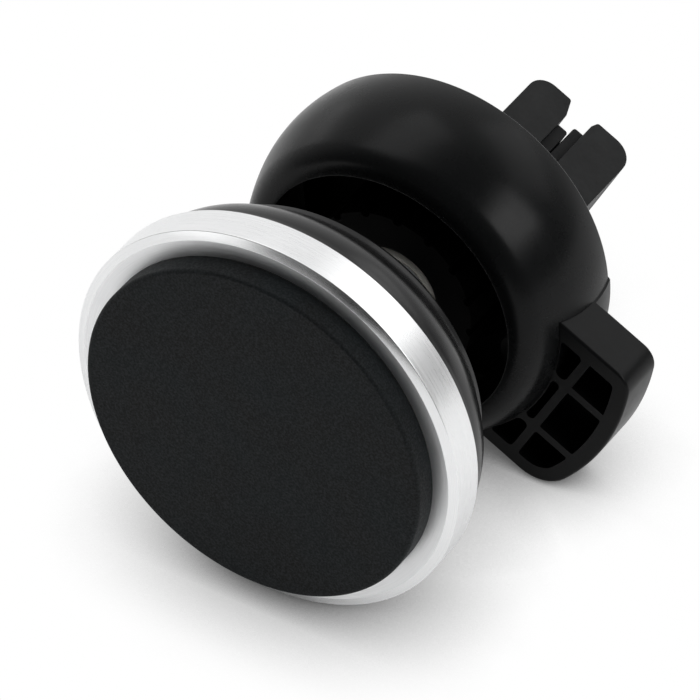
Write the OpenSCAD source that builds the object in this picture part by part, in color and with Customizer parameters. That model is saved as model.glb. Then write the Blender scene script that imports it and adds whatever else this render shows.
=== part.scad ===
// Magnetic phone holder that clips on a car's air vent, in millimetres.
// +Y points rearwards into the vent, +Z is up, and the phone pad faces -Y.
// The origin is the middle of the slot between the two rubber-lined jaws.
// Stations are distances along the bell's axis, where the pad's face is at -1.

/* [Head] */
// Outer diameter of the bezel ring
ring_d = 42; // [41:0.5:44]
// Length of the bezel ring's brushed band
band_w = 3.6; // [3.4:0.1:3.8]
// Diameter of the rubber pad
pad_d = 36.7; // [36.5:0.1:37.2]
// How far the pad's face stands in front of the bezel's inner land
pad_proud = 2.5; // [2.3:0.1:2.6]
// Number of disc magnets behind the pad
magnet_count = 6; // [4:1:6]
// Diameter of each disc magnet
magnet_d = 8; // [6:0.5:8]

/* [Ball joint] */
// Radius of the steel ball
ball_r = 5; // [4.8:0.1:5]
// Station of the ball's centre
ball_s = 27.4; // [27.2:0.1:27.5]
// Radius of the neck between ball and head
neck_r = 2.2; // [1.8:0.1:2.3]
// Radial running gap in the ball joint, the stud's bore and the jaws' knuckles
running_gap = 0.05; // [0.02:0.01:0.08]

/* [Base] */
// Station of the bell's front opening
bell_front = 22.7; // [22.5:0.1:23]
// Station of the bell's rear rim
bell_rear = 35.2; // [35:0.1:35.6]
// Radius of the bell's front opening
opening_r = 14; // [13.8:0.1:14.2]
// Radius of the rolled edge round the bell's front opening
bell_nose_r = 0.9; // [0.85:0.05:1]
// Largest outer radius of the bell
bell_max_r = 18.25; // [18.15:0.05:18.35]
// Wall of the bell and of the head's cover
wall = 1.6; // [1.4:0.1:1.7]

/* [Foot] */
// Half width of the foot
foot_half = 9.8; // [9:0.1:9.8]
// Radius of the foot's outer face about the bell's axis
foot_r = 25.2; // [24.5:0.1:26]
// Station of the foot's ribbed front
foot_front = 26.5; // [26:0.1:27]
// Thickness of the foot along the bell's axis
foot_t = 5.3; // [5:0.1:6]

/* [Clip] */
// Station of the jaws' tips
tip_s = 53.8; // [53.2:0.1:55]
// Width of the jaws
jaw_w = 11; // [10:0.5:12]
// Gap between the two rubber liners at rest
liner_gap = 0.1; // [0.1:0.1:0.4]

/* [Hidden] */

round_fn = 96;
small_fn = 32;
eps = 0.05;
long = 60;

// Row frame: the bell's axis runs this far above the slot between the jaws
axis_z = 2.05;
grip_s = 48;

// Head stations and radii, from front to back
ring_r = ring_d / 2;
pad_r = pad_d / 2;
pad_t = 1.5;
pad_face = pad_t - pad_proud;
pad_edge = 0.4;
glue_t = 0.15;
carrier_front = pad_t + glue_t;
recess_r = 19.05;
crest_r = ring_r - 0.9;
ring_front = 1.7;
crest_s = ring_front - 0.3;
ring_lip_r = 18.2;
ring_step = carrier_front + 0.55;
ring_rear = ring_front + band_w;
carrier_rear = ring_rear - 0.7;
magnet_t = 2;
magnet_pitch = 9.5;
magnet_play = 0.05;
flux_t = 0.8;
flux_r = 14;
spigot_r = recess_r - 0.1;
shell_front_r = 20.3;
shell_side_r = 20.1;
shoulder_r = 5;
shoulder_s = 6.4;
shell_cone = 38;
shell_edge_r = 2.5;
shell_back = 14.4;
boss_r = 7.5;
boss_tip_r = 4.5;
boss_tip = 17.5;
nut_face = 9.2;
screw_pitch = 16;
head_screw_angles = [30, 150, 270];

// Ball joint
stud_r = 1.5;
stud_front = 5.9;
stud_gap = 0.1;
washer_t = 0.4;
nut_t = 2.4;
nut_r = 3.15;
flange_r = 3.6;
flange_t = 0.8;
liner_t = 0.85;
liner_in = ball_r + running_gap;
liner_out = liner_in + liner_t;
seat_r = liner_out + running_gap;
liner_front_angle = 53;
liner_rear_angle = 145;
collar_lip_angle = 58;
thread_r = 8.2;
collar_r = 9.2;
collar_front = 23.7;
collar_rear = 31;
collar_scallops = 16;
scallop_r = 0.5;

// Base
bell_max_s = 31.5;
plate_front = 33.8;
plate_rear = 35;
plate_r = 16;
flange_front = 32;
housing_flange_r = 10.5;
post_r = 2.2;
post_pitch = 13.2;
post_front = 29;
post_angles = [-35, -145];
foot_post_angle = 90;
clip_screw_x = 8;
clip_boss_front = 31.3;

// Foot
notch_gap = 0.1;
foot_wall = 1.7;
foot_floor = 1.1;
foot_corners = [2.2, 4.2];
rib_t = 0.9;
rib_z = 18.7;
rib_x = 3.6;
root_proud = 0.15;

// Clip: heights are measured from the bell's axis
upper_in = -0.8;
upper_out = 3.95;
lower_in = -3.3;
lower_out = -8.4;
knuckle_s = 39.9;
knuckle_r = 2;
root_front = plate_rear;
root_flange = 36.5;
root_rear = 41.2;
root_x = 5.6;
jaw_neck = 2.4;
jaw_root = root_rear + 0.4;
jaw_corner = 2.4;
upper_tip = [2, 0.7];
lower_tip = [0.9, 0.3];
liner_x = 8;
liner_front = 42.5;
liner_sink = 0.4;
liner_t_out = (upper_in - lower_in - liner_gap) / 2;

// Points along an arc, from one angle to another
function arc(x, y, r, from, to, steps = 8) =
    [for (i = [0:steps]) let (a = from + (to - from) * i / steps) [x + r * cos(a), y + r * sin(a)]];

// The bell's section is one arc that meets the rolled front edge without a break
nose_s = bell_front + bell_nose_r;
nose_drop = bell_max_r - opening_r - bell_nose_r;
bell_arc_r = (pow(nose_drop, 2) + pow(bell_max_s - nose_s, 2) - pow(bell_nose_r, 2))
    / (2 * (nose_drop - bell_nose_r));
function bell_r(s, inset = 0) = bell_max_r - bell_arc_r
    + sqrt(pow(bell_arc_r - inset, 2) - pow(s - bell_max_s, 2));
function bell_side(from, to, inset = 0, steps = 16) =
    [for (i = [0:steps]) let (s = from + (to - from) * i / steps) [bell_r(s, inset), s]];

// The head's shell from its side round to its flat back
shell_edge_x = shell_side_r - shoulder_r + (shoulder_r - shell_edge_r
    - (shell_back - shell_edge_r - shoulder_s) * sin(shell_cone)) / cos(shell_cone);
function shell_side(inset = 0) = concat(
    arc(shell_side_r - shoulder_r, shoulder_s, shoulder_r - inset, 0, shell_cone),
    arc(shell_edge_x, shell_back - shell_edge_r, shell_edge_r - inset, shell_cone, 90, 6));

// Turns a shape drawn with its axis on Z so that it lies along the bell's axis
module on_axis() {
    translate([0, -grip_s, axis_z]) rotate([-90, 0, 0]) children();
}

// Extrudes an outline of stations and heights across the width, centred on X
module across(width) {
    translate([-width / 2, -grip_s, axis_z]) rotate([90, 0, 90]) linear_extrude(width) children();
}

module lathe(profile) {
    on_axis() rotate_extrude($fn = round_fn) polygon(profile);
}

module rod(r, s0, s1, fn = small_fn) {
    translate([0, 0, s0]) cylinder(r = r, h = s1 - s0, $fn = fn);
}

module around(angles, pitch) {
    for (a = angles) rotate([0, 0, a]) translate([pitch, 0, 0]) children();
}

// Head ---------------------------------------------------------------

module grip_pad() {
    color("#202426") lathe(concat([[0, pad_t], [0, pad_face]],
        arc(pad_r - pad_edge, pad_face + pad_edge, pad_edge, -90, 0), [[pad_r, pad_t]]));
}

module pad_adhesive() {
    color("#c9b98f") on_axis() rod(ring_lip_r - 0.1, pad_t, pad_t + glue_t, round_fn);
}

module bezel_ring() {
    color("#d5d7d9") lathe([
        [ring_lip_r, pad_t], [pad_r + 0.1, pad_t], [crest_r, crest_s],
        [ring_r, ring_front], [ring_r, ring_rear], [recess_r, ring_rear],
        [recess_r, ring_step], [ring_lip_r, ring_step]]);
}

module magnet_carrier() {
    color("#2c2d2e") on_axis() difference() {
        union() {
            rod(ring_lip_r - 0.1, carrier_front, ring_step, round_fn);
            rod(spigot_r, ring_step, carrier_rear, round_fn);
        }
        around([for (i = [0:magnet_count - 1]) i * 360 / magnet_count], magnet_pitch)
            rod(magnet_d / 2 + magnet_play, carrier_rear - magnet_t, carrier_rear + 1);
        around(head_screw_angles, screw_pitch) {
            rod(1.1, 0, long);
            rod(1.95, 0, carrier_front + 1);
        }
    }
}

module disc_magnets() {
    color("#9ea2a6") on_axis()
        around([for (i = [0:magnet_count - 1]) i * 360 / magnet_count], magnet_pitch)
            rod(magnet_d / 2, carrier_rear - magnet_t, carrier_rear);
}

module flux_plate() {
    color("#7d8084") on_axis() difference() {
        rod(flux_r, carrier_rear, carrier_rear + flux_t, round_fn);
        rod(nut_r + 1, 0, long);
    }
}

module head_shell() {
    inner = [for (p = shell_side(wall)) if (p[0] < spigot_r - wall) p];
    color("#1b1c1d") difference() {
        union() {
            lathe(concat(
                [[spigot_r - wall, carrier_rear], [spigot_r, carrier_rear], [spigot_r, ring_rear],
                    [shell_front_r, ring_rear]],
                shell_side(),
                [[boss_r, shell_back + 0.3], [boss_tip_r + 0.6, shell_back + 1],
                    [boss_tip_r, boss_tip], [0, boss_tip], [0, shell_back - wall]],
                [for (i = [len(inner) - 1:-1:0]) inner[i]],
                [[spigot_r - wall, inner[0][1] - 0.4]]));
            intersection() {
                on_axis() around(head_screw_angles, screw_pitch)
                    rod(2, carrier_rear + eps, shell_back);
                lathe(concat([[0, 0], [spigot_r - 0.6, 0]], shell_side(0.6),
                    [[0, shell_back - 0.6]]));
            }
            on_axis() rod(nut_r + 2, nut_face, shell_back);
        }
        on_axis() {
            rod(stud_r + running_gap, 0, long, round_fn);
            around(head_screw_angles, screw_pitch) rod(1.05, 0, carrier_rear + 4.4);
        }
    }
}

module head_screws() {
    color("#6d7074") on_axis() around(head_screw_angles, screw_pitch) difference() {
        union() {
            rod(1.85, carrier_front, carrier_front + 1);
            rod(1, carrier_front + 1, carrier_rear + 4);
        }
        rod(0.75, 0, carrier_front + 0.6, 6);
    }
}

// Ball joint ---------------------------------------------------------

module ball_stud() {
    color("#8d9196") on_axis() union() {
        translate([0, 0, ball_s]) sphere(ball_r, $fn = 64);
        rod(neck_r, boss_tip + stud_gap, ball_s, round_fn);
        rod(flange_r, boss_tip + stud_gap, boss_tip + stud_gap + flange_t, round_fn);
        rod(stud_r, stud_front, ball_s, round_fn);
    }
}

module stud_washer() {
    color("#a9adb1") on_axis() difference() {
        rod(nut_r + 0.5, nut_face - stud_gap - washer_t, nut_face - stud_gap, round_fn);
        rod(stud_r + eps, 0, long, round_fn);
    }
}

module stud_nut() {
    nut_rear = nut_face - stud_gap - washer_t;
    color("#a9adb1") on_axis() difference() {
        rod(nut_r, nut_rear - nut_t, nut_rear, 6);
        rod(stud_r + eps, 0, long, round_fn);
    }
}

module ball_liner() {
    color("#e4e2da") on_axis() difference() {
        translate([0, 0, ball_s]) rotate_extrude($fn = round_fn) difference() {
            circle(liner_out, $fn = round_fn);
            circle(liner_in, $fn = round_fn);
            translate([-long, -long]) square([long, 2 * long]);
            polygon([[0, 0], [0, -long], [long * tan(liner_front_angle), -long]]);
            polygon([[0, 0], [0, long], [long * tan(180 - liner_rear_angle), long]]);
        }
        for (a = [0, 120, 240]) rotate([0, 0, a])
            translate([0, -0.3, ball_s - ball_r * 0.4]) cube([long, 0.6, long]);
    }
}

// Base ---------------------------------------------------------------

module screw_post() {
    rod(post_r, post_front, plate_front);
    translate([0, -post_r, post_front]) cube([4, 2 * post_r, plate_front - post_front]);
}

module base_cup() {
    outer = bell_side(nose_s - bell_nose_r / 2, bell_rear);
    inner = [for (p = bell_side(bell_rear, nose_s, wall)) [max(p[0], opening_r), p[1]]];
    color("#0d0e0f") difference() {
        union() {
            on_axis() rotate_extrude($fn = round_fn) union() {
                polygon(concat(outer, inner));
                translate([opening_r + bell_nose_r, nose_s]) circle(bell_nose_r, $fn = small_fn);
            }
            on_axis() intersection() {
                around(post_angles, post_pitch) screw_post();
                rod(bell_r(post_front) - 0.5, post_front, plate_front, round_fn);
            }
        }
        on_axis() {
            around(post_angles, post_pitch) rod(1.05, post_front + 0.6, long);
            translate([-foot_half - notch_gap, 0, foot_front - notch_gap])
                cube([2 * (foot_half + notch_gap), long, long]);
        }
    }
}

module socket_housing() {
    color("#17181a") on_axis() difference() {
        union() {
            rod(thread_r, ball_s + 2 * eps, plate_front, round_fn);
            rod(housing_flange_r, flange_front, plate_front, round_fn);
            for (x = [-clip_screw_x, clip_screw_x])
                translate([x, 0, 0]) rod(2, clip_boss_front, plate_front);
        }
        translate([0, 0, ball_s]) sphere(seat_r, $fn = 64);
        for (x = [-clip_screw_x, clip_screw_x]) translate([x, 0, 0]) rod(1.05, clip_boss_front, long);
    }
}

module collar_nut() {
    lip_s = ball_s - seat_r * cos(collar_lip_angle);
    color("#17181a") on_axis() difference() {
        rod(collar_r, collar_front, collar_rear, round_fn);
        translate([0, 0, ball_s]) sphere(seat_r, $fn = 64);
        rod(thread_r + eps, ball_s + eps, long, round_fn);
        translate([0, 0, lip_s - 1]) cylinder(r1 = seat_r * sin(collar_lip_angle) + 1.2,
            r2 = seat_r * sin(collar_lip_angle), h = 1 + eps / 10, $fn = round_fn);
        around([for (i = [0:collar_scallops - 1]) i * 360 / collar_scallops], collar_r)
            rod(scallop_r, 0, long);
    }
}

module back_plate() {
    color("#121314") on_axis() difference() {
        rod(plate_r, plate_front, plate_rear, round_fn);
        around(concat(post_angles, foot_post_angle), post_pitch) rod(1.1, 0, long);
        for (x = [-clip_screw_x, clip_screw_x]) translate([x, 0, 0]) rod(1.1, 0, long);
        translate([-foot_half - notch_gap, sqrt(pow(plate_r, 2) - pow(foot_half, 2)) + 1.6, 0])
            cube([2 * (foot_half + notch_gap), long, long]);
    }
}

// The foot's outline, its two outer corners rounded by their own radii
module foot_outline(inset = 0) {
    out_r = foot_r - inset;
    half = foot_half - inset;
    r = [for (c = foot_corners) max(c - inset, 0.6)];
    y = [for (c = r) sqrt(pow(out_r - c, 2) - pow(half - c, 2))];
    turn = [for (i = [0, 1]) atan2(y[i], half - r[i])];
    polygon(concat([[half, 0]], arc(half - r[0], y[0], r[0], 0, turn[0]),
        arc(0, 0, out_r, turn[0] + 2, 178 - turn[1], 12),
        arc(r[1] - half, y[1], r[1], 180 - turn[1], 180), [[-half, 0]]));
}

module support_foot() {
    inner_r = bell_r(bell_rear) - wall - 1;
    color("#151617") difference() {
        union() {
            on_axis() difference() {
                translate([0, 0, foot_front]) linear_extrude(foot_t) foot_outline();
                rod(inner_r, 0, long, round_fn);
                translate([-long / 2, -long, 0]) cube([long, long + 8, long]);
                translate([0, 0, foot_front - 1]) linear_extrude(foot_t - foot_floor + 1) difference() {
                    foot_outline(foot_wall);
                    circle(bell_r(foot_front) - 0.4, $fn = round_fn);
                    translate([-foot_half, rib_z - rib_t / 2]) square([2 * foot_half, rib_t]);
                    for (side = [-1, 1]) translate([side * rib_x - rib_t / 2, 0]) square([rib_t, long]);
                }
            }
            on_axis() intersection() {
                rotate_extrude($fn = round_fn) polygon(concat(
                    [[inner_r, foot_front]], bell_side(foot_front, bell_rear, -root_proud),
                    [[inner_r + 1, bell_rear], [inner_r + 1, plate_front],
                        [inner_r, plate_front]]));
                translate([-foot_half, 8, 0]) cube([2 * foot_half, long, long]);
            }
            on_axis() intersection() {
                around([foot_post_angle], post_pitch) screw_post();
                rod(bell_r(post_front), 0, long, round_fn);
            }
        }
        on_axis() around([foot_post_angle], post_pitch) rod(1.05, post_front + 0.6, long);
    }
}

module pan_screw(head_r, shank_r, head_s, tip) {
    difference() {
        union() {
            rod(head_r, head_s, head_s + 1.1);
            rod(shank_r, tip, head_s);
        }
        rod(0.8, head_s + 0.5, long, 6);
    }
}

module base_screws() {
    color("#55585c") on_axis() around(concat(post_angles, foot_post_angle), post_pitch)
        pan_screw(1.9, 1, plate_rear, post_front + 1);
}

module clip_screws() {
    color("#55585c") on_axis() for (x = [-clip_screw_x, clip_screw_x]) translate([x, 0, 0])
        pan_screw(1.9, 1, root_flange, clip_boss_front + 0.2);
}

// Clip ---------------------------------------------------------------

module clip_root() {
    upper_mid = (upper_in + upper_out) / 2;
    lower_mid = (lower_in + lower_out) / 2;
    color("#1a1b1c") difference() {
        union() {
            across(2 * root_x) translate([root_front, lower_out - 0.3])
                square([root_rear - root_front, upper_out - lower_out + 0.6]);
            on_axis() intersection() {
                translate([-clip_screw_x - 2.6, -3, root_front])
                    cube([2 * (clip_screw_x + 2.6), 6, root_flange - root_front]);
                rod(clip_screw_x + 2.9, 0, long, round_fn);
            }
        }
        across(2 * root_x + 2) for (z = [upper_mid, lower_mid]) translate([knuckle_s, z])
            circle(knuckle_r + running_gap, $fn = 64);
        on_axis() for (x = [-clip_screw_x, clip_screw_x]) translate([x, 0, 0]) rod(1.1, 0, long);
    }
}

// Outline of a jaw from its inner face at 0 to its outer face at the given height, its tip
// sloping away by slant = [length, rise]
module jaw_outline(height, slant) {
    translate([knuckle_s, height / 2]) circle(knuckle_r, $fn = 64);
    translate([knuckle_s, (height - jaw_neck) / 2]) square([jaw_root - knuckle_s + eps, jaw_neck]);
    difference() {
        union() {
            translate([jaw_root, 0]) square([tip_s - jaw_root - jaw_corner, height]);
            translate([jaw_root, 0]) square([tip_s - jaw_root, height - jaw_corner]);
            translate([tip_s - jaw_corner, height - jaw_corner]) circle(jaw_corner, $fn = 64);
        }
        polygon([[tip_s - slant[0], 0], [tip_s, slant[1]], [tip_s + 1, slant[1]],
            [tip_s + 1, -1], [tip_s - slant[0], -1]]);
    }
}

module jaw(height, tip, slant) {
    difference() {
        across(jaw_w) jaw_outline(height, slant);
        across(liner_x) translate([liner_front, -1]) square([tip - liner_front, 1 + liner_sink]);
    }
}

module liner(tip) {
    across(liner_x) translate([liner_front, -liner_t_out])
        square([tip - liner_front, liner_t_out + liner_sink]);
}

module upper_jaw() {
    color("#202122") translate([0, 0, upper_in])
        jaw(upper_out - upper_in, tip_s - 2.2, upper_tip);
}

module upper_liner() {
    color("#141516") translate([0, 0, upper_in]) liner(tip_s - 2.2);
}

// The lower jaw is drawn like the upper one and turned over about the bell's axis
module turned_over() {
    translate([0, 0, axis_z]) mirror([0, 0, 1]) translate([0, 0, -axis_z - lower_in]) children();
}

module lower_jaw() {
    color("#202122") turned_over() jaw(lower_in - lower_out, tip_s - 1.1, lower_tip);
}

module lower_liner() {
    color("#0e0f10") turned_over() liner(tip_s - 1.1);
}

grip_pad();
pad_adhesive();
bezel_ring();
magnet_carrier();
disc_magnets();
flux_plate();
head_shell();
head_screws();
ball_stud();
stud_washer();
stud_nut();
ball_liner();
base_cup();
socket_housing();
collar_nut();
back_plate();
support_foot();
base_screws();
clip_root();
clip_screws();
upper_jaw();
upper_liner();
lower_jaw();
lower_liner();
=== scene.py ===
"""Looks for the magnetic vent phone mount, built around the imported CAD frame."""
import math

import bmesh
import bpy
from mathutils import Matrix, Vector


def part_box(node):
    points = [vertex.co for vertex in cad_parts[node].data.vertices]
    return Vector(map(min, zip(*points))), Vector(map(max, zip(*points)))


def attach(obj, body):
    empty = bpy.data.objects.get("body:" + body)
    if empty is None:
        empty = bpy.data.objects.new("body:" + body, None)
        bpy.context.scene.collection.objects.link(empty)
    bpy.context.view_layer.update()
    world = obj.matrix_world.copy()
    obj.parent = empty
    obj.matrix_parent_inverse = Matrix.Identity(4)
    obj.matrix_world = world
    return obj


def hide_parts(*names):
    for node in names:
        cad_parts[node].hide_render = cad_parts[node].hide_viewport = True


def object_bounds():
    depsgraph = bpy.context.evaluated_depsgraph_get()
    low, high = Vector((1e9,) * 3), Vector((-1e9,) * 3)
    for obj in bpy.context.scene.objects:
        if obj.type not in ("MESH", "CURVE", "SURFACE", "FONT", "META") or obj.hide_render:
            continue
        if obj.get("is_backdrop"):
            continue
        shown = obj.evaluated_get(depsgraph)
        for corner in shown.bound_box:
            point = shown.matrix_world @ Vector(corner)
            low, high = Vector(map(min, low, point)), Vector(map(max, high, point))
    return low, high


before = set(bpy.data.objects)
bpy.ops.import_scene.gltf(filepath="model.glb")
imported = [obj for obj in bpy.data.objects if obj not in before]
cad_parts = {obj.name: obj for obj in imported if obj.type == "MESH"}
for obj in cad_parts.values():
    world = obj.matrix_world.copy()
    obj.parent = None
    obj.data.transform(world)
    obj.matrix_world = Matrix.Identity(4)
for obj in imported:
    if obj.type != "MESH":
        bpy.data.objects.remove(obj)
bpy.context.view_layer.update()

MM = 0.001
TURNS = 256

# ---------------------------------------------------------------- frame
# Stations run backwards along the bell's axis, in millimetres; the pad's face is at -1.
pad_low, pad_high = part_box("grip_pad")
AXIS_Z = (pad_low.z + pad_high.z) / 2
FRONT_Y = pad_low.y + MM


def at(x, station, height):
    """A point from millimetres across, along the bell's axis and above it."""
    return Vector((x * MM, FRONT_Y + station * MM, AXIS_Z + height * MM))


def stations(node):
    low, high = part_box(node)
    return (low.y - FRONT_Y) / MM, (high.y - FRONT_Y) / MM


def heights(node):
    low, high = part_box(node)
    return (low.z - AXIS_Z) / MM, (high.z - AXIS_Z) / MM


def half_width(node):
    low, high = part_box(node)
    return (high.x - low.x) / 2 / MM


# ---------------------------------------------------------------- meshes
def make(name, bm, smooth=True):
    bmesh.ops.recalc_face_normals(bm, faces=bm.faces)
    mesh = bpy.data.meshes.new(name)
    bm.to_mesh(mesh)
    bm.free()
    mesh.polygons.foreach_set("use_smooth", [smooth] * len(mesh.polygons))
    piece = bpy.data.objects.new(name, mesh)
    bpy.context.scene.collection.objects.link(piece)
    return piece


def rounded(points, steps=5, closed=True):
    """An outline whose corners are (a, b) or (a, b, radius); a radius rounds its corner."""
    out = []
    count = len(points)
    for i, point in enumerate(points):
        corner = Vector(point[:2])
        if len(point) < 3 or (not closed and i in (0, count - 1)):
            out.append(tuple(corner))
            continue
        before = Vector(points[i - 1][:2]) - corner
        after = Vector(points[(i + 1) % count][:2]) - corner
        half = before.angle(after) / 2
        reach = min(point[2] / math.tan(half), 0.49 * before.length, 0.49 * after.length)
        before.normalize()
        after.normalize()
        radius = reach * math.tan(half)
        centre = corner + (before + after).normalized() * (radius / math.sin(half))
        start = corner + before * reach - centre
        end = corner + after * reach - centre
        turn = math.atan2(start.x * end.y - start.y * end.x, start.dot(end))
        for k in range(steps + 1):
            a = turn * k / steps
            out.append((centre.x + start.x * math.cos(a) - start.y * math.sin(a),
                        centre.y + start.x * math.sin(a) + start.y * math.cos(a)))
    return out


def arc(x, y, radius, start, end, steps=12):
    """Points along an arc, its angles in degrees."""
    turns = [math.radians(start + (end - start) * k / steps) for k in range(steps + 1)]
    return [(x + radius * math.cos(a), y + radius * math.sin(a)) for a in turns]


def revolve(name, profile, closed=True, turns=TURNS, centre=(0, 0)):
    """Turns a profile of (radius, station) about the bell's axis, or one beside it."""
    bm = bmesh.new()
    rings = []
    for radius, station in profile:
        if radius < 1e-4:
            rings.append([bm.verts.new(at(centre[0], station, centre[1]))])
            continue
        spots = arc(centre[0], centre[1], radius, 0, 360 - 360 / turns, turns - 1)
        rings.append([bm.verts.new(at(x, station, h)) for x, h in spots])
    for a, b in zip(rings, rings[1:] + (rings[:1] if closed else [])):
        for k in range(turns):
            j = (k + 1) % turns
            if len(a) == 1 and len(b) > 1:
                bm.faces.new((a[0], b[k], b[j]))
            elif len(b) == 1 and len(a) > 1:
                bm.faces.new((a[k], b[0], a[j]))
            elif len(a) > 1:
                bm.faces.new((a[k], b[k], b[j], a[j]))
    return make(name, bm)


def cylinder(name, radius, first, last, centre):
    """A plain cylinder, to cut with or to join."""
    return revolve(name, [(0, first), (radius, first), (radius, last), (0, last)], False, 48,
                   centre)


def spoke(angle, length):
    """A point at a distance from the bell's axis, its angle in degrees turned downwards."""
    angle = math.radians(angle)
    return length * math.cos(angle), -length * math.sin(angle)


def bevel(bm, width, steps, angle=30):
    sharp = [e for e in bm.edges
             if len(e.link_faces) == 2 and e.calc_face_angle() > math.radians(angle)]
    bmesh.ops.bevel(bm, geom=sharp, offset=width * MM, segments=steps, profile=0.5,
                    affect="EDGES", clamp_overlap=True)


def prism(name, outline, low, high, place, edge=0, steps=3, uprights=None):
    """An outline pushed from low to high; place(u, v, w) gives a point. Uprights, then rims,
    are rounded by their own radii."""
    bm = bmesh.new()
    bottom = [bm.verts.new(place(u, v, low)) for u, v in outline]
    top = [bm.verts.new(place(u, v, high)) for u, v in outline]
    bm.faces.new(bottom)
    bm.faces.new(list(reversed(top)))
    for k in range(len(outline)):
        j = (k + 1) % len(outline)
        bm.faces.new((bottom[k], top[k], top[j], bottom[j]))
    bmesh.ops.recalc_face_normals(bm, faces=bm.faces)
    if uprights:
        ends = {frozenset((a, b)) for a, b in zip(bottom, top)}
        corners = [e for e in bm.edges if frozenset(e.verts) in ends
                   and e.calc_face_angle() > math.radians(25)]
        bmesh.ops.bevel(bm, geom=corners, offset=uprights * MM, segments=5, profile=0.5,
                        affect="EDGES", clamp_overlap=True)
    if edge:
        bevel(bm, edge, steps, 50)
    return make(name, bm)


def combine(piece, tools, operation="DIFFERENCE"):
    """Cuts the tools from a piece, or joins them to it, and removes them."""
    for tool in tools:
        cut = piece.modifiers.new("cut", "BOOLEAN")
        cut.operation = operation
        cut.solver = "EXACT"
        cut.object = tool
        graph = bpy.context.evaluated_depsgraph_get()
        mesh = bpy.data.meshes.new_from_object(piece.evaluated_get(graph))
        tidy = bmesh.new()
        tidy.from_mesh(mesh)
        bmesh.ops.remove_doubles(tidy, verts=tidy.verts, dist=0.0005 * MM)
        bmesh.ops.dissolve_degenerate(tidy, edges=tidy.edges, dist=0.0002 * MM)
        tidy.to_mesh(mesh)
        tidy.free()
        piece.modifiers.remove(cut)
        old, piece.data = piece.data, mesh
        name = old.name
        bpy.data.meshes.remove(old)
        mesh.name = name
        bpy.data.meshes.remove(tool.data)
    return piece


def crisp(piece, angle=32, width=0.0, steps=2):
    """Rounds what is still sharp, and keeps flat faces flat in the light."""
    if width:
        soften = piece.modifiers.new("soften", "BEVEL")
        soften.width = width * MM
        soften.segments = steps
        soften.limit_method = "ANGLE"
        soften.angle_limit = math.radians(40)
        soften.harden_normals = False
    piece.data.set_sharp_from_angle(angle=math.radians(angle))
    weigh = piece.modifiers.new("weigh", "WEIGHTED_NORMAL")
    weigh.keep_sharp = True
    weigh.weight = 50
    return piece


# ---------------------------------------------------------------- materials
def map_range(nodes, low, high, to_low, to_high):
    node = nodes.new("ShaderNodeMapRange")
    for socket, number in zip(("From Min", "From Max", "To Min", "To Max"),
                              (low, high, to_low, to_high)):
        node.inputs[socket].default_value = number
    return node


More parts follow.
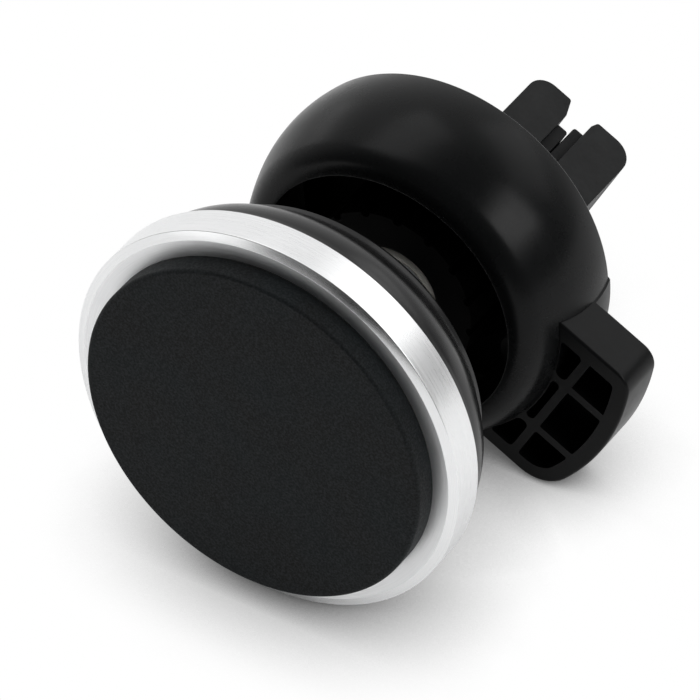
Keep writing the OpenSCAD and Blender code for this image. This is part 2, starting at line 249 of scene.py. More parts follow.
class Paint:
    """A node material on one Principled shader, in object coordinates in metres."""

    def __init__(self, name, colour, roughness, **sockets):
        self.material = bpy.data.materials.new(name)
        self.material.use_nodes = True
        self.nodes = self.material.node_tree.nodes
        self.links = self.material.node_tree.links
        self.shader = self.nodes["Principled BSDF"]
        self.set("Base Color", (*colour, 1))
        self.set("Roughness", roughness)
        for socket, value in sockets.items():
            self.set(socket.replace("_", " "), value)
        self.place = self.nodes.new("ShaderNodeTexCoord").outputs["Object"]

    def set(self, socket, value):
        self.shader.inputs[socket].default_value = value

    def to(self, output, socket):
        self.links.new(output, self.shader.inputs[socket])

    def noise(self, size, detail=3, place=None, rough=0.5):
        """Noise whose features are about size millimetres across."""
        node = self.nodes.new("ShaderNodeTexNoise")
        node.inputs["Scale"].default_value = 1 / (size * MM)
        node.inputs["Detail"].default_value = detail
        node.inputs["Roughness"].default_value = rough
        self.links.new(place or self.place, node.inputs["Vector"])
        return node.outputs["Fac"]

    def cells(self, size, place=None, feature="F1"):
        node = self.nodes.new("ShaderNodeTexVoronoi")
        node.feature = feature
        node.inputs["Scale"].default_value = 1 / (size * MM)
        self.links.new(place or self.place, node.inputs["Vector"])
        return node.outputs["Distance"]

    def remap(self, value, low, high, to_low, to_high):
        node = map_range(self.nodes, low, high, to_low, to_high)
        self.links.new(value, node.inputs["Value"])
        return node.outputs["Result"]

    def maths(self, operation, a, b=None):
        node = self.nodes.new("ShaderNodeMath")
        node.operation = operation
        for socket, value in zip(node.inputs, (a, b)):
            if isinstance(value, (int, float)):
                socket.default_value = value
            elif value is not None:
                self.links.new(value, socket)
        return node.outputs[0]

    def blend(self, factor, first, second):
        node = self.nodes.new("ShaderNodeMix")
        node.data_type = "RGBA"
        for socket, value in ((0, factor), (6, first), (7, second)):
            if isinstance(value, tuple):
                node.inputs[socket].default_value = (*value, 1)
            else:
                self.links.new(value, node.inputs[socket])
        return node.outputs[2]

    def bump(self, height, depth, under=None):
        """A relief of height times depth millimetres."""
        node = self.nodes.new("ShaderNodeBump")
        node.inputs["Distance"].default_value = depth * MM
        self.links.new(height, node.inputs["Height"])
        if under is not None:
            self.links.new(under, node.inputs["Normal"])
        self.to(node.outputs["Normal"], "Normal")
        return node.outputs["Normal"]

    def round_coordinates(self, along, across):
        """Coordinates that change slowly round the bell's axis and fast across that way, so
        that noise in them runs in rings. along and across are feature sizes in millimetres."""
        split = self.nodes.new("ShaderNodeSeparateXYZ")
        self.links.new(self.place, split.inputs[0])
        x, y, z = split.outputs
        z = self.maths("SUBTRACT", z, AXIS_Z)
        radius = self.maths("SQRT", self.maths("ADD", self.maths("MULTIPLY", x, x),
                                               self.maths("MULTIPLY", z, z)))
        turn = 20 * MM / (along * MM)
        join = self.nodes.new("ShaderNodeCombineXYZ")
        self.links.new(self.maths("MULTIPLY", self.maths("DIVIDE", x, radius), turn),
                       join.inputs[0])
        self.links.new(self.maths("MULTIPLY", self.maths("DIVIDE", z, radius), turn),
                       join.inputs[1])
        lateral = self.maths("ADD", self.maths("MULTIPLY", radius, 1 / (across * MM)),
                             self.maths("MULTIPLY", y, 0.83 / (across * MM)))
        self.links.new(lateral, join.inputs[2])
        return join.outputs[0]


def plastic(name, colour, roughness, grain, depth, spread=0.05, lift=1.35, **sockets):
    """Moulded plastic or rubber: a fine grain, with patchy gloss and slightly uneven colour."""
    p = Paint(name, colour, roughness, **sockets)
    patches = p.noise(5.5, 4)
    rub = p.noise(1.3, 6, rough=0.65)
    gloss = p.maths("ADD", p.remap(patches, 0.3, 0.7, -spread, spread),
                    p.remap(rub, 0.35, 0.7, -spread / 2, spread / 2))
    p.to(p.maths("ADD", gloss, roughness), "Roughness")
    lighter = tuple(c * lift for c in colour)
    p.to(p.blend(p.remap(p.noise(grain * 1.6, 4), 0.32, 0.68, 0, 1), colour, lighter),
         "Base Color")
    waves = p.bump(p.noise(grain * 9, 2), depth * 2.2)
    p.bump(p.noise(grain, 3, rough=0.6), depth, waves)
    return p.material


def metal(name, colour, roughness, along, across, depth, spread=0.06, **sockets):
    """Turned or brushed metal, its marks in rings about the bell's axis."""
    p = Paint(name, colour, roughness, Metallic=1.0, **sockets)
    ring = p.round_coordinates(along, across)
    marks = p.noise(1000, 5, ring, 0.7)
    p.to(p.maths("ADD", p.remap(marks, 0.3, 0.7, -spread, spread),
                 p.remap(p.noise(3, 3), 0.3, 0.7, roughness - 0.02, roughness + 0.02)),
         "Roughness")
    darker = tuple(c * 0.9 for c in colour)
    p.to(p.blend(p.remap(marks, 0.35, 0.65, 0, 1), darker, colour), "Base Color")
    p.bump(marks, depth)
    tangent = p.nodes.new("ShaderNodeTangent")
    tangent.direction_type = "RADIAL"
    tangent.axis = "Y"
    p.to(tangent.outputs[0], "Tangent")
    return p.material


def pad_rubber():
    p = Paint("pad_rubber", (0.013, 0.015, 0.0165), 0.62, Specular_IOR_Level=0.12)
    speck = p.noise(0.22, 3, rough=0.7)
    drift = p.noise(7, 3)
    dark = p.blend(p.remap(drift, 0.35, 0.65, 0, 1), (0.0085, 0.0088, 0.009),
                   (0.0078, 0.0104, 0.0116))
    p.to(p.blend(p.remap(speck, 0.42, 0.72, 0, 1), dark, (0.021, 0.0245, 0.026)), "Base Color")
    p.to(p.remap(speck, 0.3, 0.7, 0.72, 0.52), "Roughness")
    coarse = p.bump(p.cells(0.3), 0.012)
    p.bump(speck, 0.02, coarse)
    return p.material


BELL = plastic("bell_plastic", (0.004, 0.0043, 0.0045), 0.28, 0.16, 0.0012, 0.03,
               Specular_IOR_Level=0.12)
SHELL = plastic("shell_plastic", (0.005, 0.005, 0.0052), 0.24, 0.16, 0.001, 0.03,
                Specular_IOR_Level=0.32)
FOOT = plastic("foot_plastic", (0.0032, 0.0034, 0.0036), 0.34, 0.2, 0.002, 0.04,
               Specular_IOR_Level=0.13)
PLATE = plastic("plate_plastic", (0.006, 0.006, 0.0062), 0.42, 0.22, 0.003, 0.05,
                Specular_IOR_Level=0.4)
# Painted shade: a darker, nearly unreflecting black plastic for the parts inside the hollow, so
# that they read as deep shade.
INNER_PAINTED_SHADE = plastic("inner_plastic", (0.0016, 0.0016, 0.0016), 0.6, 0.22, 0.003, 0.05,
                Specular_IOR_Level=0.04)
# Painted shade: a darker, duller copy of the bell's black plastic for the bell's inside, so that
# the hollow reads as deep shade.
HOLLOW_PAINTED_SHADE = plastic("bell_hollow_painted_shade", (0.0008, 0.0008, 0.0008), 0.65, 0.22, 0.003, 0.05,
                 Specular_IOR_Level=0.02)
JAW = plastic("jaw_plastic", (0.0075, 0.0079, 0.0082), 0.5, 0.28, 0.006, 0.06,
              Specular_IOR_Level=0.16)
LINER = plastic("liner_rubber", (0.0045, 0.0048, 0.0052), 0.68, 0.2, 0.006, 0.05,
                Specular_IOR_Level=0.25)
ACETAL = plastic("liner_acetal", (0.74, 0.72, 0.66), 0.38, 0.25, 0.001, 0.04, 1.05)
FILM = plastic("adhesive_film", (0.55, 0.44, 0.25), 0.45, 0.3, 0.002, 0.06, 1.12)
BAND = metal("brushed_aluminium", (0.86, 0.865, 0.87), 0.3, 5.0, 0.05, 0.0012,
             Anisotropic=0.55)
BEVELS = metal("cut_aluminium", (0.9, 0.905, 0.91), 0.2, 12.0, 0.04, 0.0004, 0.03,
               Anisotropic=0.4)
LAND = metal("blasted_aluminium", (0.96, 0.965, 0.97), 0.46, 6.0, 0.05, 0.0006, 0.05,
             Anisotropic=0.3)
NICKEL = metal("magnet_nickel", (0.62, 0.6, 0.56), 0.16, 1.5, 0.4, 0.0006, 0.04)
PLATE_STEEL = metal("plate_steel", (0.42, 0.43, 0.45), 0.34, 3.0, 0.12, 0.001)
SCREW_STEEL = metal("screw_steel", (0.2, 0.2, 0.21), 0.3, 1.0, 0.1, 0.001)
BALL_STEEL = metal("ball_steel", (0.52, 0.53, 0.55), 0.14, 4.0, 0.06, 0.0004, 0.03)


def finish_piece(piece, body, node, slot, *materials):
    for material in materials:
        piece.data.materials.append(material)
    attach(piece, body)
    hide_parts(node)
    return piece


# ---------------------------------------------------------------- camera and studio
VIEW_AZIMUTH, VIEW_ELEVATION, VIEW_ROLL = 49.08, -3.08, -48.7
LENS, SENSOR = 328.7, 36
CAMERA_BACK = 596.6
CENTRE_RIGHT, CENTRE_UP = 8.77, 7.51

azimuth, elevation, roll = map(math.radians, (VIEW_AZIMUTH, VIEW_ELEVATION, VIEW_ROLL))
back = Vector((math.sin(azimuth) * math.cos(elevation),
               -math.cos(azimuth) * math.cos(elevation), math.sin(elevation)))
level = Vector((math.cos(azimuth), math.sin(azimuth), 0))
right = level * math.cos(roll) + back.cross(level) * math.sin(roll)
up = back.cross(right)

camera_data = bpy.data.cameras.new("camera")
camera_data.lens = LENS
camera_data.sensor_width = SENSOR
camera_data.clip_start = 0.01
camera_data.clip_end = 20
camera = bpy.data.objects.new("camera", camera_data)
bpy.context.scene.collection.objects.link(camera)
spot = at(0, 0, 0) + (right * CENTRE_RIGHT + up * CENTRE_UP + back * CAMERA_BACK) * MM
camera.matrix_world = Matrix.Translation(spot) @ Matrix((right, up, back)).transposed().to_4x4()
bpy.context.scene.camera = camera


def resting_plane(*groups):
    """The plane under three groups of points, found by trying each group's lowest point."""
    normal = Vector((0.9, -0.1, 0.4)).normalized()
    for _ in range(12):
        a, b, c = (min(points, key=normal.dot) for points in groups)
        found = (b - a).cross(c - a).normalized()
        normal = found if found.dot(normal) > 0 else -found
    return normal, a


def points_of(node):
    return [v.co.copy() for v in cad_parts[node].data.vertices]


floor_up, floor_point = resting_plane(points_of("bezel_ring"), points_of("base_cup"),
                                      points_of("support_foot"))
towards = (back - floor_up * back.dot(floor_up)).normalized()
sideways = towards.cross(floor_up) * -1


def studio(turn, rise):
    """A direction from its turn, from the camera's side to the right, and its rise."""
    turn, rise = math.radians(turn), math.radians(rise)
    flat = towards * math.cos(turn) + sideways * math.sin(turn)
    return flat * math.cos(rise) + floor_up * math.sin(rise)


def softbox(name, turn, rise, distance, width, height, radiance):
    data = bpy.data.lights.new(name, "AREA")
    data.shape = "RECTANGLE"
    data.size, data.size_y = width, height
    data.energy = radiance * math.pi * width * height
    lamp = bpy.data.objects.new(name, data)
    bpy.context.scene.collection.objects.link(lamp)
    way = studio(turn, rise)
    side = floor_up.cross(way).normalized()
    lamp.matrix_world = (Matrix.Translation(at(0, 20, 0) + way * distance)
                         @ Matrix((side, way.cross(side), way)).transposed().to_4x4())
    lamp.visible_camera = False
    return lamp


softbox("key_light", 120, 34, 0.5, 0.36, 0.24, 1.2)
softbox("side_light", 66, 37, 0.5, 0.25, 0.23, 4.6)
softbox("rim_light", -146, 12, 0.5, 0.2, 0.1, 0.8)
softbox("left_light", -70, 4, 0.5, 0.18, 0.14, 1.15)
softbox("top_light", -150, 62, 0.6, 0.5, 0.3, 1.6)

world = bpy.data.worlds.new("studio")
bpy.context.scene.world = world
world.use_nodes = True
air = world.node_tree
air.nodes.clear()
glow = air.nodes.new("ShaderNodeBackground")
white = air.nodes.new("ShaderNodeBackground")
white.inputs["Color"].default_value = (1, 1, 1, 1)
choose = air.nodes.new("ShaderNodeMixShader")
path = air.nodes.new("ShaderNodeLightPath")
out = air.nodes.new("ShaderNodeOutputWorld")
sky = air.nodes.new("ShaderNodeTexCoord")
lean = air.nodes.new("ShaderNodeVectorMath")
lean.operation = "DOT_PRODUCT"
lean.inputs[1].default_value = -towards
fade = map_range(air.nodes, -0.2, 0.95, 0.14, 1.2)
fade.interpolation_type = "SMOOTHSTEP"
air.links.new(sky.outputs["Generated"], lean.inputs[0])
air.links.new(lean.outputs["Value"], fade.inputs["Value"])
air.links.new(fade.outputs["Result"], glow.inputs["Strength"])
air.links.new(path.outputs["Is Camera Ray"], choose.inputs[0])
air.links.new(glow.outputs[0], choose.inputs[1])
air.links.new(white.outputs[0], choose.inputs[2])
air.links.new(choose.outputs[0], out.inputs["Surface"])

view = bpy.context.scene.view_settings
view.view_transform = "Standard"
view.look = "None"
view.exposure = 0
view.gamma = 1

# The floor is a white table. Seen by the camera it is the white of the background with a painted
# shadow, darkened by ambient occlusion where the object stands close over it, so that a part
# posed below it still shows. To the object's light and reflections it is white paper with a
# painted glow, dimmed by the same painted shadow.
FLOOR_R, FLOOR_DROP, FLOOR_WHITE, FLOOR_PAINTED_GLOW, SHADE_REACH = 0.5, 0.00003, 0.86, 0.34, 0.015
floor_mesh = bmesh.new()
bmesh.ops.create_circle(floor_mesh, cap_ends=True, segments=96, radius=FLOOR_R)
bmesh.ops.transform(floor_mesh, verts=floor_mesh.verts, matrix=Matrix.Translation(
    floor_point - floor_up * FLOOR_DROP) @ floor_up.to_track_quat("Z", "Y").to_matrix().to_4x4())
floor = make("floor", floor_mesh, smooth=False)
if floor.data.polygons[0].normal.dot(floor_up) < 0:
    floor.data.flip_normals()
table = bpy.data.materials.new("white_table_painted_shadow")
table.use_nodes = True
ground = table.node_tree
ground.nodes.clear()
paper = ground.nodes.new("ShaderNodeBsdfDiffuse")
paper.inputs["Color"].default_value = (FLOOR_WHITE, FLOOR_WHITE, FLOOR_WHITE, 1)
clear = ground.nodes.new("ShaderNodeBsdfTransparent")
# Painted shadow: ambient occlusion with its normal tilted to one side, so that the painted shadow
# leans like a cast one.
shade = ground.nodes.new("ShaderNodeAmbientOcclusion")
shade.samples = 16
shade.inputs["Distance"].default_value = SHADE_REACH
shade.inputs["Normal"].default_value = (floor_up + studio(-95, 30) * 0.6).normalized()
# depth is the painted shadow: 1 in the open, down to 0.08 close under the object.
depth = map_range(ground.nodes, 0.22, 0.85, 0.08, 1)
geometry = ground.nodes.new("ShaderNodeNewGeometry")
under = ground.nodes.new("ShaderNodeMath")
under.operation = "MAXIMUM"
rays = ground.nodes.new("ShaderNodeLightPath")
pick = ground.nodes.new("ShaderNodeMixShader")
surface = ground.nodes.new("ShaderNodeOutputMaterial")
ground.links.new(shade.outputs["AO"], depth.inputs["Value"])
ground.links.new(depth.outputs["Result"], under.inputs[0])
ground.links.new(geometry.outputs["Backfacing"], under.inputs[1])
ground.links.new(under.outputs[0], clear.inputs["Color"])
ground.links.new(rays.outputs["Is Camera Ray"], pick.inputs[0])
# Painted glow: the floor, though no lamp, gives off light, dimmed near the object by the painted
# shadow.
painted_glow = ground.nodes.new("ShaderNodeEmission")
both = ground.nodes.new("ShaderNodeAddShader")
painted_glow_strength = ground.nodes.new("ShaderNodeMath")
painted_glow_strength.operation = "MULTIPLY"
painted_glow_strength.inputs[1].default_value = FLOOR_PAINTED_GLOW
ground.links.new(depth.outputs["Result"], painted_glow_strength.inputs[0])
ground.links.new(painted_glow_strength.outputs[0], painted_glow.inputs["Strength"])
ground.links.new(paper.outputs[0], both.inputs[0])
ground.links.new(painted_glow.outputs[0], both.inputs[1])
ground.links.new(both.outputs[0], pick.inputs[1])
ground.links.new(clear.outputs[0], pick.inputs[2])
ground.links.new(pick.outputs[0], surface.inputs["Surface"])
floor.data.materials.append(table)
floor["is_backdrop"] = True

# A black card at the front left, seen only in the metal's reflections.
CARD_BACK, CARD_W, CARD_H = 0.3, 0.13, 0.1
card_mesh = bmesh.new()
bmesh.ops.create_grid(card_mesh, x_segments=1, y_segments=1, size=0.5)
way = studio(-32, -1)
side = floor_up.cross(way).normalized()
bmesh.ops.transform(card_mesh, verts=card_mesh.verts, matrix=(
    Matrix.Translation(at(0, 1, 0) + way * CARD_BACK)
    @ Matrix((side * CARD_W, way.cross(side) * CARD_H, way)).transposed().to_4x4()))
card = make("black_card", card_mesh, smooth=False)
card.data.materials.append(Paint("card_black", (0, 0, 0), 1, Specular_IOR_Level=0).material)
card.visible_camera = False
card.visible_shadow = False
card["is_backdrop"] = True

# ---------------------------------------------------------------- head
pad_face, pad_back = stations("grip_pad")
pad_r = half_width("grip_pad")
pad = revolve("pad", [(r, pad_face) for r in (0, 4, 8, 12, 16)]
              + arc(pad_r - 0.4, pad_face + 0.4, 0.4, -90, 0, 8)
              + [(pad_r, pad_back), (0, pad_back)], closed=False)
finish_piece(crisp(pad), "head", "grip_pad", "pad_rubber", pad_rubber())

ring_front, ring_rear = stations("bezel_ring")
ring_r = half_width("bezel_ring")
ring_edge, crest_r = ring_front + 0.3, ring_r - 0.9
RING_BORE_R, RING_SEAT_R, LAND_S, RING_FLOOR_S = 18.2, 19.05, 1.5, 2.2
bezel_outline = rounded([
    (RING_BORE_R, LAND_S), (pad_r + 0.1, LAND_S), (crest_r, ring_front, 0.09),
    (ring_r, ring_edge, 0.09), (ring_r, ring_rear, 0.12), (RING_SEAT_R, ring_rear, 0.05),
    (RING_SEAT_R, RING_FLOOR_S), (RING_BORE_R, RING_FLOOR_S)])
bezel = revolve("bezel", bezel_outline, turns=360)
finish_piece(crisp(bezel), "head", "bezel_ring", "bezel_aluminium", BAND, BEVELS, LAND)
for face in bezel.data.polygons:
    radius = math.hypot(face.center.x, face.center.z - AXIS_Z) / MM
    if (face.center.y - FRONT_Y) / MM < ring_edge + 0.02:
        face.material_index = 1 if radius > crest_r - 0.05 else 2

shell_front, shell_rear = stations("head_shell")
shell_r = half_width("head_shell")
SHELL_BACK, SHELL_WALL = 14.4, 1.6
SHELL_CONE, SHOULDER_X, SHOULDER_S, SHOULDER_R, SHELL_EDGE_R = 38, 15.1, 6.4, 5, 2.5
SPIGOT_IN, SPIGOT_OUT, STUD_HOLE_R, NUT_SEAT_R, NUT_SEAT_S = 17.35, 18.95, 1.55, 5.15, 9.2


def shell_side(inset):
    """The shell's section from its side round to its flat back."""
    cone, edge_s = math.radians(SHELL_CONE), SHELL_BACK - SHELL_EDGE_R
    edge_x = SHOULDER_X + (SHELL_EDGE_R - (edge_s - SHOULDER_S) * math.sin(cone)) / math.cos(cone)
    return (arc(SHOULDER_X, SHOULDER_S, SHOULDER_R - inset, 0, SHELL_CONE, 14)
            + arc(edge_x, edge_s, SHELL_EDGE_R - inset, SHELL_CONE, 90, 10))


inner_side = [p for p in shell_side(SHELL_WALL) if p[0] < SPIGOT_IN - 0.05]
shell_outline = (rounded([(SPIGOT_IN, inner_side[0][1] - 0.4), (SPIGOT_IN, shell_front),
                          (SPIGOT_OUT, shell_front), (SPIGOT_OUT, ring_rear),
                          (shell_r, ring_rear, 0.1),
                          (SHOULDER_X + SHOULDER_R, SHOULDER_S)], 5, False)
                 + shell_side(0)[1:]
                 + rounded([(8.5, SHELL_BACK + 0.1), (7.2, SHELL_BACK + 0.3, 2.0),
                            (5.1, SHELL_BACK + 1, 1.2), (4.5, shell_rear, 0.35),
                            (STUD_HOLE_R, shell_rear, 0.1), (STUD_HOLE_R, NUT_SEAT_S, 0.1),
                            (NUT_SEAT_R, NUT_SEAT_S, 0.2),
                            (NUT_SEAT_R, SHELL_BACK - SHELL_WALL)], 6, False)
                 + list(reversed(inner_side)))
shell = revolve("shell", shell_outline)
PILOT_R, CLEAR_R, HEAD_PITCH = 1.05, 1.1, 16
HEAD_SCREWS = [spoke(angle, HEAD_PITCH) for angle in (30, 150, 270)]
combine(shell, [revolve("boss", [(0, 4.65), (2, 4.65), (2, 10), (0, 12)], False, 48, c)
                for c in HEAD_SCREWS], "UNION")
combine(shell, [cylinder("hole", PILOT_R, 3, 9, c) for c in HEAD_SCREWS])
finish_piece(crisp(shell), "head", "head_shell", "shell_plastic", SHELL)

# ---------------------------------------------------------------- bell
bell_front, bell_rear = stations("base_cup")
OPENING_R, NOSE_R, BELL_MAX_R, BELL_MAX_S, WALL = 14, 0.9, 18.25, 31.5, 1.6
NOSE_S = bell_front + NOSE_R
NOSE_DROP = BELL_MAX_R - OPENING_R - NOSE_R
BELL_ARC = ((NOSE_DROP ** 2 + (BELL_MAX_S - NOSE_S) ** 2 - NOSE_R ** 2)
            / (2 * (NOSE_DROP - NOSE_R)))
BELL_CENTRE = BELL_MAX_R - BELL_ARC


def bell_r(station, inset=0):
    """The bell's radius at a station; its section behind the rolled front edge is one arc."""
    return BELL_CENTRE + math.sqrt((BELL_ARC - inset) ** 2 - (station - BELL_MAX_S) ** 2)


def bell_side(first, last, inset=0, count=20):
    spots = [first + (last - first) * k / count for k in range(count + 1)]
    return [(bell_r(s, inset), s) for s in spots]


FULLER_BY, FULLER_TO, FULLER_OVER = 0.3, 27.5, 4.4


def fuller(station):
    """How far the bell's front shoulder stands out beyond the arc."""
    return FULLER_BY * max((FULLER_TO - station) / FULLER_OVER, 0) ** 2


LIP_R = OPENING_R - 0.2
outer = [(r + fuller(s), s) for r, s in bell_side(NOSE_S + 0.9, bell_rear - 0.3, 0, 28)]
lip, pull = (LIP_R, bell_front + 0.08), (OPENING_R + 1.6, bell_front - 0.15)
roll = [tuple(((1 - k) ** 2 * a + 2 * k * (1 - k) * b + k * k * c)
              for a, b, c in zip(lip, pull, outer[0])) for k in (i / 14 for i in range(14))]
nose = rounded([(LIP_R, NOSE_S), (*lip, 0.12), roll[1]], 4, False)[:-1] + roll[1:]
outer += arc(bell_r(bell_rear) - 0.27, bell_rear - 0.3, 0.3, 5, 90, 5)
inner = [p for p in bell_side(bell_rear, NOSE_S + 0.15, WALL) if p[0] > OPENING_R + 0.3]
bell = revolve("bell", nose + outer + inner, turns=384)


POST_PITCH, POST_R, POST_FRONT, POST_REAR, WEB_REACH, PILOT_S = 13.2, 2.2, 29, 33.8, 3.8, 29.6
BELL_POSTS, FOOT_POST = (-35, -145), 90


def post(angle):
    """A screw post inside the bell, joined to its wall by a web."""
    centre = spoke(angle, POST_PITCH)
    boss = cylinder("post", POST_R, POST_FRONT, POST_REAR, centre)
    way = Vector(spoke(angle, 1))
    side = Vector((-way.y, way.x)) * POST_R
    start, end = way * POST_PITCH, way * (POST_PITCH + WEB_REACH)
    outline = [tuple(start + side), tuple(end + side), tuple(end - side), tuple(start - side)]
    web = prism("web", outline, POST_FRONT + 0.01, POST_REAR - 0.01,
                lambda u, v, w: at(u, w, v))
    return [boss, web], centre


parts, drills = [], []
for angle in BELL_POSTS:
    solids, centre = post(angle)
    parts += solids
    drills.append(cylinder("drill", PILOT_R, PILOT_S, 40, centre))
combine(bell, parts, "UNION")
FOOT_HALF = half_width("support_foot")
foot_front = stations("support_foot")[0]
notch = FOOT_HALF + 0.1
drills.append(prism("notch", [(-notch, 0), (notch, 0), (notch, -40), (-notch, -40)],
                    foot_front - 0.1, 60, lambda u, v, w: at(u, w, v)))
combine(bell, drills)
finish_piece(crisp(bell), "base", "base_cup", "bell_plastic", BELL, HOLLOW_PAINTED_SHADE)
# Faces inside the bell, behind its rolled front edge, take the painted-shade copy of the bell's
# plastic.
for face in bell.data.polygons:
    station = (face.center.y - FRONT_Y) / MM
    radius = math.hypot(face.center.x, face.center.z - AXIS_Z) / MM
    face.material_index = int(station > NOSE_S - 0.2 and radius < bell_r(station) - 0.4 * WALL
                              and station < bell_rear - 0.1)

# ---------------------------------------------------------------- foot
foot_low = heights("support_foot")[0]
FOOT_R, FOOT_REAR, FOOT_WALL, FOOT_FLOOR = -foot_low, foot_front + 5.3, 1.7, 1.1
RIB_ROW, RIB_COLUMN, RIB = 18.7, 3.6, 0.9
INNER_R = bell_r(bell_rear) - WALL - 1
FOOT_CORNERS = ((1, 2.2), (-1, 4.2))


def foot_rim(inset, inner):
    """The foot's outline as (across, below the axis), from its inner right corner round."""
    radius, half = FOOT_R - inset, FOOT_HALF - inset
    points = []
    for side, corner in FOOT_CORNERS:
        r = max(corner - inset, 0.6)
        x, y = half - r, math.sqrt((radius - r) ** 2 - (half - r) ** 2)
        end = math.degrees(math.atan2(y, x))
        turn = [(side * a, b) for a, b in arc(x, y, r, 0, end, 8)]
        sweep = [(side * a, b) for a, b in arc(0, 0, radius, end, 90, 16)[1:]]
        points += turn + sweep if side > 0 else list(reversed(turn + sweep[:-1]))
    reach = math.degrees(math.acos(half / inner))
    return points + arc(0, 0, inner, 180 - reach, reach, 24)


def below(u, v, w):
    return at(u, w, -v)


foot = prism("foot", foot_rim(0, INNER_R + 0.5), foot_front, FOOT_REAR, below, 0.28, 3)
profile = ([(INNER_R, foot_front + 0.2)]
           + [(r + 0.15, s) for r, s in bell_side(foot_front + 0.2, bell_rear - 0.1)]
           + [(bell_r(bell_rear) - 0.1, bell_rear), (INNER_R + 1, bell_rear),
              (INNER_R + 1, POST_REAR), (INNER_R, POST_REAR)])
root_bm = bmesh.new()
columns = 40
loops = []
for k in range(columns + 1):
    x = -FOOT_HALF + 2 * FOOT_HALF * k / columns
    loops.append([root_bm.verts.new(at(x, s, -math.sqrt(r * r - x * x))) for r, s in profile])
for a, b in zip(loops, loops[1:]):
    for k in range(len(profile)):
        j = (k + 1) % len(profile)
        root_bm.faces.new((a[k], b[k], b[j], a[j]))
root_bm.faces.new(loops[0])
root_bm.faces.new(loops[-1])
root = make("foot_root", root_bm)
solids, foot_screw = post(FOOT_POST)
combine(foot, [root] + solids, "UNION")


def clipped(points, axis, limit, keep_above):
    """A convex outline cut at one coordinate."""
    out = []
    for a, b in zip(points, points[1:] + points[:1]):
        a_in = (a[axis] >= limit) == keep_above
        b_in = (b[axis] >= limit) == keep_above
        if a_in:
            out.append(a)
        if a_in != b_in:
            t = (limit - a[axis]) / (b[axis] - a[axis])
            out.append((a[0] + (b[0] - a[0]) * t, a[1] + (b[1] - a[1]) * t))
    return out


pockets = []
walls = [-FOOT_HALF + FOOT_WALL, -RIB_COLUMN - RIB / 2, -RIB_COLUMN + RIB / 2,
         RIB_COLUMN - RIB / 2, RIB_COLUMN + RIB / 2, FOOT_HALF - FOOT_WALL]
cup_r = bell_r(foot_front) + 0.1
for left, right_edge in zip(walls[::2], walls[1::2]):
    cell = clipped(clipped(foot_rim(FOOT_WALL, 16), 0, left, True), 0, right_edge, False)
    far = clipped(cell, 1, RIB_ROW + RIB / 2, True)
    rim = [(left + (right_edge - left) * k / 6) for k in range(7)]
    near = [(x, math.sqrt(cup_r ** 2 - x * x)) for x in rim]
    near += [(right_edge, RIB_ROW - RIB / 2), (left, RIB_ROW - RIB / 2)]
    for outline in (near, far):
        pockets.append(prism("pocket", outline, foot_front - 1, FOOT_REAR - FOOT_FLOOR, below,
                             uprights=0.55))
combine(foot, pockets + [cylinder("drill", PILOT_R, PILOT_S, 40, foot_screw)])
finish_piece(crisp(foot, width=0.1), "base", "support_foot", "foot_plastic", FOOT)

# ---------------------------------------------------------------- back plate and clip root
plate_front, plate_rear = stations("back_plate")
PLATE_R, CLIP_X = 16, 8
back_plate = revolve("rear_cover", rounded([
    (0, plate_front), (PLATE_R, plate_front, 0.15), (PLATE_R, plate_rear, 0.3),
    (0, plate_rear)], 5, False))
screw_spots = [spoke(angle, POST_PITCH) for angle in (*BELL_POSTS, FOOT_POST)]
clip_spots = [(-CLIP_X, 0), (CLIP_X, 0)]
holes = [cylinder("hole", CLEAR_R, 30, 40, c) for c in screw_spots + clip_spots]
gap = math.sqrt(PLATE_R ** 2 - FOOT_HALF ** 2) + 1.6
holes.append(prism("gap", [(-notch, gap), (notch, gap), (notch, 40), (-notch, 40)], 20, 60,
                   below))
combine(back_plate, holes)
finish_piece(crisp(back_plate, width=0.08), "base", "back_plate", "plate_plastic", PLATE)

UPPER_IN, UPPER_OUT, LOWER_IN, LOWER_OUT = -0.8, 3.95, -3.3, -8.4
KNUCKLE_S, KNUCKLE_R, SOCKET_PLAY = 39.9, 2.0, 0.05
root_front, root_rear = stations("clip_root")
ROOT_X, FLANGE_REAR = 5.6, 36.5


def across(width):
    """Placing for an outline of (station, height) that is pushed across the width."""
    return -width / 2, width / 2, lambda u, v, w: at(w, u, v)


low, high, side_on = across(2 * ROOT_X)
clip_root = prism("clip_block", rounded([
    (root_front, LOWER_OUT - 0.3), (root_rear, LOWER_OUT - 0.3, 0.5),
    (root_rear, UPPER_OUT + 0.3, 0.5), (root_front, UPPER_OUT + 0.3)]), low, high, side_on, 0.3)
flange = prism("flange", rounded([(-CLIP_X - 2.6, -3, 2.2), (CLIP_X + 2.6, -3, 2.2),
                                  (CLIP_X + 2.6, 3, 2.2), (-CLIP_X - 2.6, 3, 2.2)], 8),
               root_front, FLANGE_REAR, lambda u, v, w: at(u, w, v), 0.2)
combine(clip_root, [flange], "UNION")
sockets = []
for middle in ((UPPER_IN + UPPER_OUT) / 2, (LOWER_IN + LOWER_OUT) / 2):
    round_socket = arc(KNUCKLE_S, middle, KNUCKLE_R + SOCKET_PLAY, 0, 354, 59)
    sockets.append(prism("socket", round_socket, -ROOT_X - 1, ROOT_X + 1, side_on))
sockets += [cylinder("hole", CLEAR_R, 30, 45, c) for c in clip_spots]
combine(clip_root, sockets)
finish_piece(crisp(clip_root, width=0.08), "base", "clip_root", "plate_plastic", PLATE)


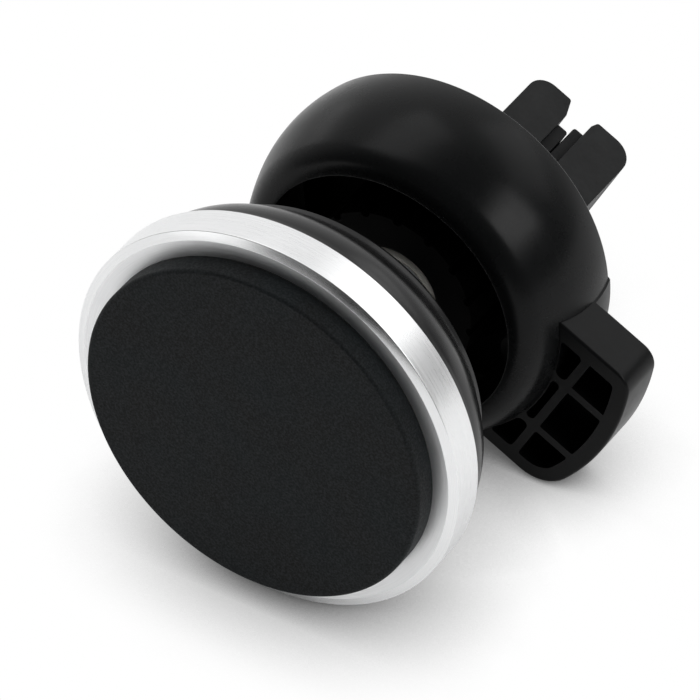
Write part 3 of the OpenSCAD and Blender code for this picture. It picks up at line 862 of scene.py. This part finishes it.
def pan_screws(name, centres, head_front, tip, node):
    """Dark pan-head screws with hexagon sockets, as one piece."""
    profile = rounded([(0, tip), (0.8, tip, 0.1), (1, tip + 0.3), (1, head_front),
                       (1.9, head_front, 0.12), (1.9, head_front + 0.75, 0.3),
                       (1.2, head_front + 1.1, 0.3), (0, head_front + 1.1)], 5, False)
    bm = bmesh.new()
    for centre in centres:
        screw = revolve("screw", profile, False, 64, centre)
        hexagon = [(centre[0] + 0.8 * math.cos(math.pi * k / 3),
                    centre[1] + 0.8 * math.sin(math.pi * k / 3)) for k in range(6)]
        combine(screw, [prism("hexagon", hexagon, head_front + 0.5, head_front + 3,
                              lambda u, v, w: at(u, w, v))])
        bm.from_mesh(screw.data)
        bpy.data.meshes.remove(screw.data)
    piece = crisp(make(name, bm), width=0.05)
    return finish_piece(piece, "base", node, "screw_steel", SCREW_STEEL)


pan_screws("cover_screws", screw_spots, plate_rear, 30, "base_screws")
pan_screws("block_screws", clip_spots, FLANGE_REAR, 31.5, "clip_screws")

# ---------------------------------------------------------------- jaws
JAW_W = 2 * half_width("upper_jaw")
LINER_W, LINER_FRONT, LINER_SINK, LINER_OUT = 8, 42.5, 0.4, 1.2


def jaw(name, inner_face, outer_face, tip, liner_tip, slant, rise, node, body):
    """A jaw with a round knuckle at its root, a rounded tip and a pocket for its liner."""
    way = 1 if outer_face > inner_face else -1
    height = abs(outer_face - inner_face)
    front = KNUCKLE_S + KNUCKLE_R - 0.3
    half_neck = 1.2
    bend = math.degrees(math.asin(half_neck / KNUCKLE_R))
    knuckle = arc(KNUCKLE_S, height / 2, KNUCKLE_R, bend, 360 - bend, 40)
    outline = knuckle + rounded([
        (front, height / 2 - half_neck), (front, 0, 0.25), (tip - slant, 0, 0.3),
        (tip, rise, 0.35), (tip, height, 2.4), (front, height, 0.4),
        (front, height / 2 + half_neck)], 9, False)
    low, high, _ = across(JAW_W)
    place = lambda u, v, w: at(w, u, inner_face + way * v)
    piece = prism(name, outline, low, high, place, 0.55, 4)
    low, high, _ = across(LINER_W)
    pocket = prism("pocket", [(LINER_FRONT, -2), (liner_tip, -2), (liner_tip, LINER_SINK),
                              (LINER_FRONT, LINER_SINK)], low, high, place)
    combine(piece, [pocket])
    return finish_piece(crisp(piece, width=0.05), body, node, "jaw_plastic", JAW)


def jaw_liner(name, inner_face, way, liner_tip, node, body):
    low, high, _ = across(LINER_W)
    place = lambda u, v, w: at(w, u, inner_face + way * v)
    piece = prism(name, rounded([
        (LINER_FRONT, -LINER_OUT, 0.25), (liner_tip, -LINER_OUT, 0.3),
        (liner_tip, LINER_SINK), (LINER_FRONT, LINER_SINK)]), low, high, place, 0.15, 2)
    return finish_piece(crisp(piece), body, node, "liner_rubber", LINER)


TIP = stations("upper_jaw")[1]
UPPER_TIP, LOWER_TIP = stations("upper_liner")[1], stations("lower_liner")[1]
jaw("jaw_upper", UPPER_IN, UPPER_OUT, TIP, UPPER_TIP, 2.0, 0.7, "upper_jaw", "upper_jaw")
jaw("jaw_lower", LOWER_IN, LOWER_OUT, TIP, LOWER_TIP, 0.9, 0.3, "lower_jaw", "lower_jaw")
jaw_liner("jaw_liner_upper", UPPER_IN, 1, UPPER_TIP, "upper_liner", "upper_jaw")
jaw_liner("jaw_liner_lower", LOWER_IN, -1, LOWER_TIP, "lower_liner", "lower_jaw")

# ---------------------------------------------------------------- inside
# The magnet carrier, socket housing and collar nut take the painted-shade black plastic.
for node, material, edge in (
        ("pad_adhesive", FILM, 0.02), ("magnet_carrier", INNER_PAINTED_SHADE, 0.08),
        ("disc_magnets", NICKEL, 0.12), ("flux_plate", PLATE_STEEL, 0.08),
        ("head_screws", SCREW_STEEL, 0.05), ("ball_stud", BALL_STEEL, 0.08),
        ("stud_washer", PLATE_STEEL, 0.04), ("stud_nut", SCREW_STEEL, 0.1),
        ("ball_liner", ACETAL, 0.05), ("socket_housing", INNER_PAINTED_SHADE, 0.1),
        ("collar_nut", INNER_PAINTED_SHADE, 0.1)):
    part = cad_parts[node]
    part.data.materials.clear()
    part.data.materials.append(material)
    soften = part.modifiers.new("soften", "BEVEL")
    soften.width = edge * MM
    soften.segments = 2
    soften.limit_method = "ANGLE"
    soften.angle_limit = math.radians(50)

low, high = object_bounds()
